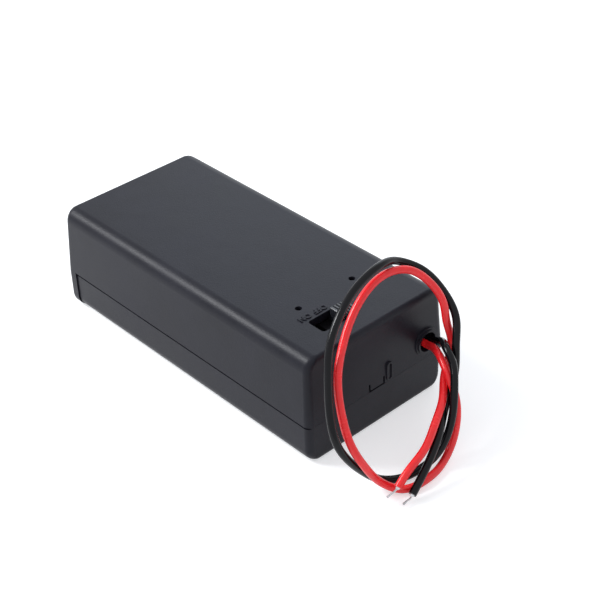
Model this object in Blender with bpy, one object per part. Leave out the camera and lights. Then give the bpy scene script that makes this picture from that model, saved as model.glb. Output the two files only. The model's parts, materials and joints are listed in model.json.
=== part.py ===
"""A holder for one nine volt block battery, with a clip-on cover, a slide switch and two free leads.

It stands on its cover. +X is the end where the leads come out, +Y the side nearest to the lead hole, and
+Z is up. The origin is in the middle of the underside. Run it with blender --background --python part.py,
or from the text editor.
"""
import math

import bmesh
import bpy
import numpy as np
from mathutils import Matrix, Vector

MM = 0.001

# The block battery that the holder is made for, and the room between its end and the contact board
BATTERY_LENGTH = 46.4 * MM
BATTERY_WIDTH = 26.5 * MM
BATTERY_SNAP_SPACE = 3.3 * MM
SNAP_PITCH = 12.7 * MM
BATTERY_PLAY = 0.3 * MM

# The outside of the closed box
CASE_LENGTH = 69.0 * MM
CASE_WIDTH = 33.0 * MM
CASE_HEIGHT = 21.5 * MM
WALL = 1.6 * MM
SIDE_DRAFT = 0.55 * MM
END_DRAFT = 0.5 * MM
CORNER_RADIUS = 1.3 * MM
TOP_FILLET = 2.7 * MM
FLOOR_RADIUS = 2.5 * MM
END_EDGE_RADIUS = 0.9 * MM
SMALLEST_RADIUS = 0.3 * MM

# The parting line between the case and its cover
COVER_HEIGHT = 8.0 * MM
COVER_INSET = 0.25 * MM
END_STRIP = 2.6 * MM
SEAM_GAP = 0.3 * MM
CLEARANCE = 0.3 * MM
SINK = 0.2 * MM

# The lip inside the case that lines the cover up, and the ribs that hold the battery
LIP_THICKNESS = 0.8 * MM
LIP_DROP = 1.6 * MM
LIP_RISE = 1.4 * MM
LIP_END_SPACE = 3.0 * MM
STOP_THICKNESS = 1.5 * MM
STOP_PITCH = 19.0 * MM
STOP_FLOOR_SPACE = 5.0 * MM
RIB_THICKNESS = 1.2 * MM
RIB_PITCH = 20.0 * MM
RIB_MIDDLE = -9.0 * MM
RIB_SEAM_SPACE = 0.4 * MM

# The cover's two tongues, the case's latch between its two slits with the oval mark beside it, and the
# cover's tab behind the latch
TONGUE_WIDTH = 7.0 * MM
TONGUE_THICKNESS = 1.2 * MM
TONGUE_REACH = 0.7 * MM
TONGUE_ROOT = 1.8 * MM
TONGUE_PITCH = 14.0 * MM
LATCH_WIDTH = 3.8 * MM
LATCH_HEIGHT = 1.6 * MM
LATCH_SLIT = 0.35 * MM
LATCH_LIFT = 0.25 * MM
LATCH_OFFSET = -0.4 * MM
TAB_WIDTH = 3.2 * MM
TAB_HEIGHT = 1.3 * MM
TAB_THICKNESS = 1.0 * MM
TAB_ROOT = 2.2 * MM
MARK_WIDTH = 1.45 * MM
MARK_HEIGHT = 3.9 * MM
MARK_LINE = 0.35 * MM
MARK_RAISE = 0.25 * MM
MARK_OFFSET = 3.05 * MM
MARK_SEAM_SPACE = 0.1 * MM

# The hole for the leads, with its stepped ring
LEAD_HOLE_DIAMETER = 3.8 * MM
LEAD_HOLE_Y = 11.9 * MM
LEAD_HOLE_Z = 11.65 * MM
RING_DIAMETER = 5.4 * MM
RING_RAISE = 0.25 * MM
RING_STEP_DIAMETER = 4.6 * MM
RING_STEP_RAISE = 0.5 * MM

# The contact board with its two snaps, and the two small holes in the top over it
BOARD_END_SPACE = 12.9 * MM
BOARD_THICKNESS = 1.6 * MM
BOARD_WIDTH = 25.0 * MM
BOARD_EDGE_SPACE = 1.45 * MM
GUIDE_ARM = 1.2 * MM
GUIDE_DEPTH = 1.0 * MM
GUIDE_SEAM_SPACE = 0.75 * MM
TOP_HOLE_DIAMETER = 1.25 * MM
SNAP_BASE_RADIUS = 4.2 * MM
SNAP_SHEET = 0.5 * MM
SNAP_HEIGHT = 2.6 * MM
SOCKET_RADIUS = 4.0 * MM
SOCKET_WALL = 0.7 * MM
SOCKET_SLOT = 0.7 * MM
STUD_RADIUS = 2.8 * MM
STUD_NECK = 0.35 * MM
RIVET_RADIUS = 0.9 * MM
RIVET_HEAD_RADIUS = 1.7 * MM
RIVET_HEAD_THICKNESS = 0.5 * MM
LUG_RING_RADIUS = 2.4 * MM
LUG_SHEET = 0.4 * MM
LUG_WIDTH = 2.4 * MM
LUG_DROP = 6.0 * MM
LUG_EYE_RADIUS = 0.5 * MM

# The slide switch
SWITCH_END_SPACE = 6.9 * MM
SWITCH_SIDE_SPACE = 13.5 * MM
SLOT_LENGTH = 10.0 * MM
SLOT_WIDTH = 4.0 * MM
SLOT_CORNER = 0.6 * MM
KNOB_LENGTH = 4.9 * MM
KNOB_RAISE = 0.8 * MM
KNOB_RIDGES = 5
KNOB_GROOVE_WIDTH = 0.35 * MM
KNOB_GROOVE_DEPTH = 0.4 * MM
KNOB_EDGE = 0.2 * MM
FLANGE_SPARE = 2.25 * MM
FLANGE_SIDE = 0.9 * MM
FLANGE_THICKNESS = 1.3 * MM
STRIP_THICKNESS = 0.3 * MM
STRIP_WIDTH = 2.6 * MM
STRIP_END = 1.0 * MM
STRIP_DIP = 0.7 * MM
PEG_RADIUS = 0.6 * MM
PEG_LENGTH = 0.9 * MM
TERMINAL_SIZE = 2.2 * MM
TERMINAL_SHEET = 0.4 * MM
BLADE_WIDTH = 1.6 * MM
BLADE_THICKNESS = 0.5 * MM
BLADE_DROP = 4.4 * MM
BASE_THICKNESS = 1.2 * MM
BASE_WIDTH = 6.0 * MM
BASE_END = 1.9 * MM
POST_RADIUS = 1.6 * MM
STAKE_RADIUS = 0.8 * MM
STAKE_HEAD_RADIUS = 1.4 * MM
STAKE_HEAD_THICKNESS = 0.6 * MM

# The leads. Both come out of the hole, run down to the floor, turn up in one loop that leans on the top edge
# of the case, and end in front of it. The routes' points are in millimetres.
LEAD_DIAMETER = 1.35 * MM
STRAND_DIAMETER = 0.45 * MM
JOINT_RADIUS = 0.8 * MM
POINTS_PER_LEAD = 78
POINTS_PER_JUMPER = 14
POINTS_PER_TIP = 4
RED_ROUTE = (
    (29.1, -1.9, 12.4), (29, 3, 11.8), (29.6, 7.8, 11.5), (31.3, 10.3, 11.7), (33.1, 11.1, 11.8),
    (35.1, 11.1, 11.8), (37.6, 10.2, 12.9), (40.6, 8.7, 13.3), (44.1, 7, 12), (46.6, 6.2, 9.3),
    (48.1, 5, 6), (49.1, 2.8, 2.6), (50.2, -1, 0.8), (50.9, -5.6, 0.8), (49.8, -9.8, 0.8),
    (47.7, -12.3, 2.3), (46.6, -15.2, 6.8), (44.9, -16.6, 11), (41.9, -15.8, 15), (38.1, -13, 19.6),
    (35.6, -9.7, 21.8), (33.2, -5, 24.8), (32.4, 0, 28), (32.6, 4, 29), (33.6, 7.5, 28.5),
    (35.6, 10.8, 25.5), (37.8, 12.2, 21.5), (38.5, 12.5, 17.5), (39.9, 12.3, 14.2), (41.3, 10, 12.2),
    (42.8, 7.4, 10.8), (45.9, 3.7, 9.9), (48.1, -0.5, 8.3), (49.6, -4.5, 6.2), (50, -9.1, 4.1),
    (50.3, -11.5, 2.6),
)
BLACK_ROUTE = (
    (25.1, 6.6, 7), (26.6, 8.5, 9), (29.6, 12.1, 11.4), (32.6, 12.8, 11.8), (35.1, 12.8, 11.8),
    (37.2, 12.2, 13), (41.8, 9, 15.3), (44.1, 8, 14.2), (46.1, 6.3, 12.5), (47.8, 4.4, 9.4),
    (48.8, 2.4, 6), (49.2, -0.8, 2.8), (48.6, -4.3, 1.1), (47.6, -8, 0.7), (46.2, -11, 1.4),
    (45.2, -14.4, 4.6), (44.7, -17.1, 8.3), (43.6, -18.8, 12.4), (41.5, -18.1, 16.3),
    (38.3, -15.4, 19.8), (35.5, -12.3, 23.6), (33.8, -8, 27.5), (32.6, -3, 29.8), (32.2, 3, 31),
    (31.6, 8, 29), (33.4, 11.2, 26.8), (36.1, 13.5, 23), (39.6, 13.6, 18.4), (41.8, 11.3, 15.5),
    (43.4, 9.5, 11.5), (45.9, 4.5, 8), (49.1, -0.6, 6.5), (50.9, -5.2, 3.9), (52.1, -10, 1.2),
)
RED_TIP_ROUTE = ((50.3, -11.85, 2.4), (50.1, -12.8, 1.9), (49.9, -13.8, 1.5))
BLACK_TIP_ROUTE = ((52.25, -10.4, 1), (52.3, -11.4, 0.9), (52.4, -12.5, 0.8))

# Steps in round shapes, and the angle in degrees from which an edge is sharp
CORNER_STEPS = 6
ARC_STEPS = 6
ROUND_SIDES = 32
SMALL_SIDES = 20
SHARP_ANGLE = 35

# Places that follow from the sizes above
FAR_X = -CASE_LENGTH / 2
NEAR_X = CASE_LENGTH / 2
SIDE_Y = CASE_WIDTH / 2
INNER_TOP = CASE_HEIGHT - WALL
PARTING_X = FAR_X + END_STRIP
SNAP_Z = CASE_HEIGHT / 2
BOARD_X = NEAR_X - BOARD_END_SPACE
BOARD_FRONT = BOARD_X - BOARD_THICKNESS / 2
BOARD_BACK = BOARD_X + BOARD_THICKNESS / 2
SNAP_FRONT = BOARD_FRONT - CLEARANCE
STOP_FACE = SNAP_FRONT - BATTERY_SNAP_SPACE - BATTERY_LENGTH - BATTERY_PLAY
LUG_BACK = BOARD_BACK + CLEARANCE + LUG_SHEET
SWITCH_X = NEAR_X - SWITCH_END_SPACE
SWITCH_Y = SWITCH_SIDE_SPACE - SIDE_Y
TRAVEL = SLOT_LENGTH - KNOB_LENGTH - 2 * CLEARANCE
TERMINAL_PITCH = TRAVEL
KNOB_Y = SWITCH_Y + TRAVEL / 2
FLANGE_TOP = INNER_TOP - CLEARANCE
FLANGE_BOTTOM = FLANGE_TOP - FLANGE_THICKNESS
STRIP_MIDDLE_Z = FLANGE_BOTTOM - CLEARANCE - STRIP_THICKNESS / 2
TERMINAL_TOP = STRIP_MIDDLE_Z - STRIP_DIP - STRIP_THICKNESS / 2 - CLEARANCE
BASE_TOP = TERMINAL_TOP - TERMINAL_SHEET - CLEARANCE
BASE_BOTTOM = BASE_TOP - BASE_THICKNESS
FLANGE_HALF_LENGTH = KNOB_LENGTH / 2 + FLANGE_SPARE
POST_REACH = TRAVEL / 2 + FLANGE_HALF_LENGTH + POST_RADIUS + CLEARANCE
HINGE = Vector((PARTING_X + SEAM_GAP / 2, 0, 0))

bpy.context.scene.unit_settings.system = "METRIC"
for old in list(bpy.data.objects):
    bpy.data.objects.remove(old, do_unlink=True)


def material(name, colour, roughness, metallic=0.0):
    """A Principled material of one colour."""
    made = bpy.data.materials.new(name)
    made.use_nodes = True
    shader = made.node_tree.nodes["Principled BSDF"]
    shader.inputs["Base Color"].default_value = (*colour, 1.0)
    shader.inputs["Roughness"].default_value = roughness
    shader.inputs["Metallic"].default_value = metallic
    return made


def finish(builder, name):
    """Turn a bmesh into an object whose faces point outwards, smooth but for its sharp edges."""
    bmesh.ops.recalc_face_normals(builder, faces=builder.faces)
    mesh = bpy.data.meshes.new(name)
    builder.to_mesh(mesh)
    builder.free()
    mesh.shade_smooth()
    mesh.set_sharp_from_angle(angle=math.radians(SHARP_ANGLE))
    made = bpy.data.objects.new(name, mesh)
    bpy.context.collection.objects.link(made)
    return made


def move_origin(piece, point):
    """Put an object's origin at a point and leave its shape where it is."""
    piece.data.transform(Matrix.Translation(-Vector(point)))
    piece.location = point


def combine(target, tool, operation):
    """Add a Boolean to the target, and leave the tool as a wire guide."""
    tool.hide_render = True
    tool.display_type = "WIRE"
    step = target.modifiers.new(tool.name, "BOOLEAN")
    step.operation = operation
    step.solver = "EXACT"
    step.object = tool


def cut(target, tool):
    combine(target, tool, "DIFFERENCE")


def join(target, tool):
    combine(target, tool, "UNION")


def block(name, low, high, edge=0.0):
    """A box between two corners, with rounded edges where an edge radius is given."""
    low = Vector(low)
    high = Vector(high)
    builder = bmesh.new()
    place = Matrix.Translation((low + high) / 2) @ Matrix.Diagonal((*(high - low), 1.0))
    bmesh.ops.create_cube(builder, size=1.0, matrix=place)
    if edge > 0:
        bmesh.ops.bevel(builder, geom=builder.edges, offset=edge, segments=2, profile=0.5, affect="EDGES")
    return finish(builder, name)


def rod(name, start, end, radius, sides=SMALL_SIDES):
    """A cylinder between two points."""
    start = Vector(start)
    end = Vector(end)
    along = end - start
    place = Matrix.Translation((start + end) / 2) @ along.to_track_quat("Z", "Y").to_matrix().to_4x4()
    builder = bmesh.new()
    bmesh.ops.create_cone(builder, cap_ends=True, segments=sides, radius1=radius, radius2=radius,
                          depth=along.length, matrix=place)
    return finish(builder, name)


def turned_along_x(name, profile, y, z, sides=ROUND_SIDES):
    """Spin a closed profile of (x, radius) points about a line along X."""
    builder = bmesh.new()
    corners = [builder.verts.new((x, y + radius, z)) for x, radius in profile]
    edges = [builder.edges.new((a, b)) for a, b in zip(corners, corners[1:] + corners[:1])]
    bmesh.ops.spin(builder, geom=corners + edges, cent=(0, y, z), axis=(1, 0, 0), angle=2 * math.pi,
                   steps=sides, use_merge=True)
    bmesh.ops.remove_doubles(builder, verts=builder.verts, dist=0.00001)
    spare = [edge for edge in builder.edges if not edge.link_faces]
    bmesh.ops.delete(builder, geom=spare, context="EDGES")
    return finish(builder, name)


def round_rectangle(low_x, high_x, half_y, radius, z):
    """Points anticlockwise round a rectangle whose corners are arcs."""
    centres = ((high_x - radius, half_y - radius, 0), (low_x + radius, half_y - radius, 90),
               (low_x + radius, radius - half_y, 180), (high_x - radius, radius - half_y, 270))
    points = []
    for x, y, start in centres:
        for step in range(CORNER_STEPS + 1):
            angle = math.radians(start + 90 * step / CORNER_STEPS)
            points.append((x + radius * math.cos(angle), y + radius * math.sin(angle), z))
    return points


def loft(name, loops):
    """Skin over a stack of loops with as many points each, and close its ends."""
    builder = bmesh.new()
    rings = [[builder.verts.new(point) for point in loop] for loop in loops]
    for lower, upper in zip(rings, rings[1:]):
        for index in range(len(lower)):
            following = (index + 1) % len(lower)
            builder.faces.new((lower[index], lower[following], upper[following], upper[index]))
    builder.faces.new(list(reversed(rings[0])))
    builder.faces.new(rings[-1])
    return finish(builder, name)


def end_fold(depth, wall):
    """How far an end face's outer edge curls in at a depth below the top, or a height over the floor."""
    if wall > 0:
        return 0
    left = max(END_EDGE_RADIUS - depth, 0)
    return END_EDGE_RADIUS - math.sqrt(END_EDGE_RADIUS ** 2 - left ** 2)


def box_loops(wall, inset):
    """The box's outline from its floor to its top, shrunk by a wall inside, and set in at its sides.

    Its long edges have wide fillets, and the edges of its two ends only a small radius.
    """
    floor_radius = max(FLOOR_RADIUS - wall, SMALLEST_RADIUS)
    top_fillet = max(TOP_FILLET - wall, SMALLEST_RADIUS)
    corner = max(CORNER_RADIUS - wall, SMALLEST_RADIUS)
    loops = []

    def add(z, end_edge, set_in_x, set_in_y):
        side = wall + inset
        end = set_in_x + end_edge
        loops.append(round_rectangle(FAR_X + wall + end, NEAR_X - side - end, SIDE_Y - side - set_in_y,
                                     max(corner - end_edge, SMALLEST_RADIUS), z))

    for step in range(ARC_STEPS + 1):
        angle = math.radians(90 * step / ARC_STEPS)
        rise = floor_radius * (1 - math.cos(angle))
        add(wall + rise, end_fold(rise, wall), 0, floor_radius * (1 - math.sin(angle)))
    add(COVER_HEIGHT, 0, 0, 0)
    for step in range(ARC_STEPS + 1):
        angle = math.radians(90 * step / ARC_STEPS)
        depth = top_fillet * (1 - math.sin(angle))
        fold = top_fillet * (1 - math.cos(angle))
        add(CASE_HEIGHT - wall - depth, end_fold(depth, wall), END_DRAFT, SIDE_DRAFT + fold)
    return loops


def end_draft_at(z):
    """How far the case's end walls lean in at a height above the parting line."""
    rise = CASE_HEIGHT - TOP_FILLET - COVER_HEIGHT
    return END_DRAFT * (z - COVER_HEIGHT) / rise


def case_shell():
    """The upper moulding, with the far end wall that reaches the floor."""
    case = loft("case_shell", box_loops(0, 0))
    cut(case, loft("case_hollow", box_loops(WALL, 0)))
    cut(case, block("cover_space", (PARTING_X, -CASE_WIDTH, -WALL),
                    (CASE_LENGTH, CASE_WIDTH, COVER_HEIGHT + SEAM_GAP / 2)))
    add_lips(case)
    add_battery_ribs(case)
    add_board_guides(case)
    add_switch_posts(case)
    cut_top(case)
    add_lead_ring(case)
    add_latch(case)
    return case


def add_lips(case):
    """A lip inside each long wall, which drops behind the cover's wall."""
    cover_inner = SIDE_Y - COVER_INSET - WALL
    outer = cover_inner - CLEARANCE
    inner = outer - LIP_THICKNESS
    start = PARTING_X + LIP_END_SPACE
    end = BOARD_FRONT - CLEARANCE - GUIDE_ARM - CLEARANCE
    seam = COVER_HEIGHT + SEAM_GAP / 2
    for name, side in (("lip_left", 1), ("lip_right", -1)):
        near = sorted((side * inner, side * (SIDE_Y - WALL + SINK)))
        join(case, block(name + "_root", (start, near[0], seam + SINK), (end, near[1], seam + LIP_RISE)))
        drop = sorted((side * inner, side * outer))
        join(case, block(name, (start, drop[0], seam - LIP_DROP), (end, drop[1], seam + LIP_RISE / 2)))


def add_battery_ribs(case):
    """Two stops on the far wall, and two pairs of ribs on the long walls, which hold the battery."""
    far_wall = FAR_X + WALL
    for name, y in (("stop_left", STOP_PITCH / 2), ("stop_right", -STOP_PITCH / 2)):
        join(case, block(name, (far_wall - SINK, y - STOP_THICKNESS / 2, STOP_FLOOR_SPACE),
                         (STOP_FACE, y + STOP_THICKNESS / 2, INNER_TOP + SINK)))
    rib_face = BATTERY_WIDTH / 2 + BATTERY_PLAY
    low = COVER_HEIGHT + SEAM_GAP / 2 + RIB_SEAM_SPACE
    for end, x in (("far", RIB_MIDDLE - RIB_PITCH / 2), ("near", RIB_MIDDLE + RIB_PITCH / 2)):
        for hand, side in (("left", 1), ("right", -1)):
            span = sorted((side * rib_face, side * (SIDE_Y - WALL + SINK)))
            join(case, block("rib_" + end + "_" + hand, (x - RIB_THICKNESS / 2, span[0], low),
                             (x + RIB_THICKNESS / 2, span[1], INNER_TOP + SINK)))


def add_board_guides(case):
    """A grooved guide on each long wall, which holds the contact board by its edges."""
    reach = BOARD_WIDTH / 2 - GUIDE_DEPTH
    arm_far = BOARD_FRONT - CLEARANCE - GUIDE_ARM
    arm_near = BOARD_BACK + CLEARANCE + GUIDE_ARM
    low = COVER_HEIGHT + SEAM_GAP / 2 + GUIDE_SEAM_SPACE
    for name, side in (("guide_left", 1), ("guide_right", -1)):
        span = sorted((side * reach, side * (SIDE_Y - WALL + SINK)))
        join(case, block(name, (arm_far, span[0], low), (arm_near, span[1], INNER_TOP + SINK)))
        groove = sorted((side * (reach - SINK), side * (BOARD_WIDTH / 2 + CLEARANCE)))
        cut(case, block(name + "_groove", (BOARD_FRONT - CLEARANCE, groove[0], low - SINK),
                        (BOARD_BACK + CLEARANCE, groove[1], INNER_TOP)))


def add_switch_posts(case):
    """Two posts under the top, whose stakes hold the switch base."""
    shoulder = BASE_TOP + CLEARANCE
    head_top = BASE_BOTTOM - CLEARANCE
    head_bottom = head_top - STAKE_HEAD_THICKNESS
    for name, y in (("post_left", SWITCH_Y + POST_REACH), ("post_right", SWITCH_Y - POST_REACH)):
        join(case, rod(name, (SWITCH_X, y, shoulder), (SWITCH_X, y, INNER_TOP + SINK), POST_RADIUS))
        join(case, rod(name + "_stake", (SWITCH_X, y, head_top - SINK), (SWITCH_X, y, shoulder + SINK),
                       STAKE_RADIUS))
        join(case, rod(name + "_head", (SWITCH_X, y, head_bottom), (SWITCH_X, y, head_top),
                       STAKE_HEAD_RADIUS))


def cut_top(case):
    """The switch's slot, and the two small holes over the snaps."""
    loops = []
    for z in (INNER_TOP - SINK, CASE_HEIGHT + SINK):
        outline = round_rectangle(SWITCH_X - SLOT_WIDTH / 2, SWITCH_X + SLOT_WIDTH / 2, SLOT_LENGTH / 2,
                                  SLOT_CORNER, z)
        loops.append([(x, y + SWITCH_Y, height) for x, y, height in outline])
    cut(case, loft("switch_slot", loops))
    for name, y in (("top_hole_left", SNAP_PITCH / 2), ("top_hole_right", -SNAP_PITCH / 2)):
        cut(case, rod(name, (BOARD_X, y, INNER_TOP - SINK), (BOARD_X, y, CASE_HEIGHT + SINK),
                      TOP_HOLE_DIAMETER / 2))


def add_lead_ring(case):
    """The stepped ring on the near end wall, with the hole for the leads."""
    face = NEAR_X - end_draft_at(LEAD_HOLE_Z)
    inside = face - WALL / 2
    profile = [(inside, 0), (face + RING_STEP_RAISE, 0), (face + RING_STEP_RAISE, RING_STEP_DIAMETER / 2),
               (face + RING_RAISE, RING_STEP_DIAMETER / 2), (face + RING_RAISE, RING_DIAMETER / 2),
               (inside, RING_DIAMETER / 2)]
    join(case, turned_along_x("lead_ring", profile, LEAD_HOLE_Y, LEAD_HOLE_Z))
    hole = rod("lead_hole", (face - 2 * WALL, LEAD_HOLE_Y, LEAD_HOLE_Z),
               (face + 2 * RING_STEP_RAISE, LEAD_HOLE_Y, LEAD_HOLE_Z), LEAD_HOLE_DIAMETER / 2, ROUND_SIDES)
    cut(case, hole)


def add_latch(case):
    """The latch in the near end wall's lower edge, free between two slits, and the raised oval mark beside it."""
    seam = COVER_HEIGHT + SEAM_GAP / 2
    middle = seam + MARK_SEAM_SPACE + MARK_HEIGHT / 2
    face = NEAR_X - end_draft_at(middle)
    mark = stadium("latch_mark", face - WALL / 2, face + MARK_RAISE, MARK_WIDTH, MARK_HEIGHT, middle)
    cut(mark, stadium("latch_mark_inside", face + MARK_RAISE / 8, face + 2 * MARK_RAISE,
                      MARK_WIDTH - 2 * MARK_LINE, MARK_HEIGHT - 2 * MARK_LINE, middle))
    join(case, mark)
    inside = NEAR_X - 2 * WALL
    outside = NEAR_X + WALL
    left = LATCH_OFFSET + LATCH_WIDTH / 2
    right = LATCH_OFFSET - LATCH_WIDTH / 2
    for name, low, high in (("latch_slit_left", left - LATCH_SLIT, left),
                            ("latch_slit_right", right, right + LATCH_SLIT)):
        cut(case, block(name, (inside, low, seam - SINK), (outside, high, seam + LATCH_HEIGHT)))
    cut(case, block("latch_space", (inside, right + LATCH_SLIT / 2, seam - SINK),
                    (outside, left - LATCH_SLIT / 2, seam + LATCH_LIFT)))


def stadium(name, low_x, high_x, width, height, middle_z):
    """An upright oval with straight sides, standing on the near end wall."""
    radius = width / 2
    straight = height / 2 - radius
    middle_y = LATCH_OFFSET + MARK_OFFSET
    outline = []
    for centre, start in ((middle_z + straight, 0), (middle_z - straight, math.pi)):
        for step in range(ARC_STEPS + 1):
            angle = start + math.pi * step / ARC_STEPS
            outline.append((middle_y + radius * math.cos(angle), centre + radius * math.sin(angle)))
    return loft(name, [[(x, y, z) for y, z in outline] for x in (low_x, high_x)])


def battery_cover():
    """The lower moulding, a tray with a near end wall, two tongues and a tab behind the latch."""
    cover = loft("battery_cover", box_loops(0, COVER_INSET))
    cut(cover, loft("cover_hollow", box_loops(WALL, COVER_INSET)))
    cut(cover, block("case_space", (-CASE_LENGTH, -CASE_WIDTH, COVER_HEIGHT - SEAM_GAP / 2),
                     (CASE_LENGTH, CASE_WIDTH, CASE_HEIGHT + WALL)))
    cut(cover, block("strip_space", (-CASE_LENGTH, -CASE_WIDTH, -WALL),
                     (PARTING_X + SEAM_GAP, CASE_WIDTH, CASE_HEIGHT + WALL)))
    tongue_low = WALL + CLEARANCE
    for name, y in (("tongue_left", TONGUE_PITCH / 2), ("tongue_right", -TONGUE_PITCH / 2)):
        root_far = PARTING_X + SEAM_GAP
        join(cover, block(name + "_root", (root_far, y - TONGUE_WIDTH / 2, WALL / 2),
                          (root_far + TONGUE_ROOT, y + TONGUE_WIDTH / 2, tongue_low + TONGUE_THICKNESS)))
        join(cover, block(name, (PARTING_X - TONGUE_REACH, y - TONGUE_WIDTH / 2, tongue_low),
                          (root_far + TONGUE_ROOT / 2, y + TONGUE_WIDTH / 2, tongue_low + TONGUE_THICKNESS)))
    case_wall = NEAR_X - WALL - end_draft_at(COVER_HEIGHT + TAB_HEIGHT)
    tab_face = case_wall - CLEARANCE
    tab_back = tab_face - TAB_THICKNESS
    edge = COVER_HEIGHT - SEAM_GAP / 2
    low = LATCH_OFFSET - TAB_WIDTH / 2
    high = LATCH_OFFSET + TAB_WIDTH / 2
    join(cover, block("latch_tab_root", (tab_back, low, edge - TAB_ROOT),
                      (NEAR_X - WALL, high, edge - SINK)))
    join(cover, block("latch_tab", (tab_back, low, edge - TAB_ROOT / 2),
                      (tab_face, high, edge + SEAM_GAP + TAB_HEIGHT)))
    move_origin(cover, HINGE)
    return cover


def contact_board():
    """The insulating board across the case, with a hole for each snap's rivet."""
    board = block("contact_board", (BOARD_FRONT, -BOARD_WIDTH / 2, WALL + BOARD_EDGE_SPACE),
                  (BOARD_BACK, BOARD_WIDTH / 2, INNER_TOP - BOARD_EDGE_SPACE))
    for name, y in (("board_hole_left", SNAP_PITCH / 2), ("board_hole_right", -SNAP_PITCH / 2)):
        cut(board, rod(name, (BOARD_FRONT - WALL, y, SNAP_Z), (BOARD_BACK + WALL, y, SNAP_Z),
                       RIVET_RADIUS + CLEARANCE))
    return board


def snap_socket(y):
    """The spring socket, a ring of six fingers on a round base, which grips the battery's stud."""
    hole = RIVET_RADIUS + CLEARANCE
    base_face = SNAP_FRONT - SNAP_SHEET
    rim = SNAP_FRONT - SNAP_HEIGHT
    profile = [(SNAP_FRONT, hole), (SNAP_FRONT, SNAP_BASE_RADIUS), (base_face, SNAP_BASE_RADIUS),
               (base_face, SOCKET_RADIUS), (rim + SOCKET_WALL / 2, SOCKET_RADIUS),
               (rim, SOCKET_RADIUS - SOCKET_WALL / 3), (rim, SOCKET_RADIUS - SOCKET_WALL),
               (base_face, SOCKET_RADIUS - SOCKET_WALL), (base_face, hole)]
    socket = turned_along_x("snap_socket", profile, y, SNAP_Z)
    for step in range(3):
        slot = block("socket_slot_%d" % (step + 1), (rim - WALL, -SNAP_BASE_RADIUS - WALL, -SOCKET_SLOT / 2),
                     (base_face - SNAP_SHEET / 2, SNAP_BASE_RADIUS + WALL, SOCKET_SLOT / 2))
        slot.matrix_world = (Matrix.Translation((0, y, SNAP_Z))
                             @ Matrix.Rotation(math.radians(60 * step), 4, "X"))
        cut(socket, slot)
    return socket


def snap_stud(y):
    """The hollow stud that the battery's socket grips, with a neck under its head."""
    hole = RIVET_RADIUS + CLEARANCE
    base_face = SNAP_FRONT - SNAP_SHEET
    tip = SNAP_FRONT - SNAP_HEIGHT
    neck = STUD_RADIUS - STUD_NECK
    inner = neck - SNAP_SHEET / 2
    profile = [(SNAP_FRONT, hole), (SNAP_FRONT, SNAP_BASE_RADIUS), (base_face, SNAP_BASE_RADIUS),
               (base_face, neck), (tip + 2 * SNAP_SHEET, STUD_RADIUS), (tip + SNAP_SHEET, STUD_RADIUS),
               (tip, neck), (tip, 0), (tip + SNAP_SHEET, 0), (tip + SNAP_SHEET, inner),
               (base_face, inner), (base_face, hole)]
    return turned_along_x("snap_stud", profile, y, SNAP_Z)


def rivet(name, y):
    """A rivet through a snap, the board and a lug, with a head at each end."""
    front = SNAP_FRONT - SNAP_SHEET - CLEARANCE
    back = LUG_BACK + CLEARANCE
    profile = [(front - RIVET_HEAD_THICKNESS, 0), (front - RIVET_HEAD_THICKNESS, RIVET_HEAD_RADIUS),
               (front, RIVET_HEAD_RADIUS), (front, RIVET_RADIUS), (back, RIVET_RADIUS),
               (back, RIVET_HEAD_RADIUS), (back + RIVET_HEAD_THICKNESS, RIVET_HEAD_RADIUS),
               (back + RIVET_HEAD_THICKNESS, 0)]
    return turned_along_x(name, profile, y, SNAP_Z, SMALL_SIDES)


def solder_lug(name, y):
    """A sheet ring behind the board, with a tail that a lead is soldered to."""
    lug = rod(name, (LUG_BACK - LUG_SHEET, y, SNAP_Z), (LUG_BACK, y, SNAP_Z), LUG_RING_RADIUS, ROUND_SIDES)
    join(lug, block(name + "_tail", (LUG_BACK - LUG_SHEET, y - LUG_WIDTH / 2, SNAP_Z - LUG_DROP),
                    (LUG_BACK, y + LUG_WIDTH / 2, SNAP_Z)))
    cut(lug, rod(name + "_hole", (LUG_BACK - WALL, y, SNAP_Z), (LUG_BACK + WALL, y, SNAP_Z),
                 RIVET_RADIUS + CLEARANCE))
    eye = SNAP_Z - LUG_DROP + LUG_WIDTH / 2
    cut(lug, rod(name + "_eye", (LUG_BACK - WALL, y, eye), (LUG_BACK + WALL, y, eye), LUG_EYE_RADIUS))
    return lug


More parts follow.
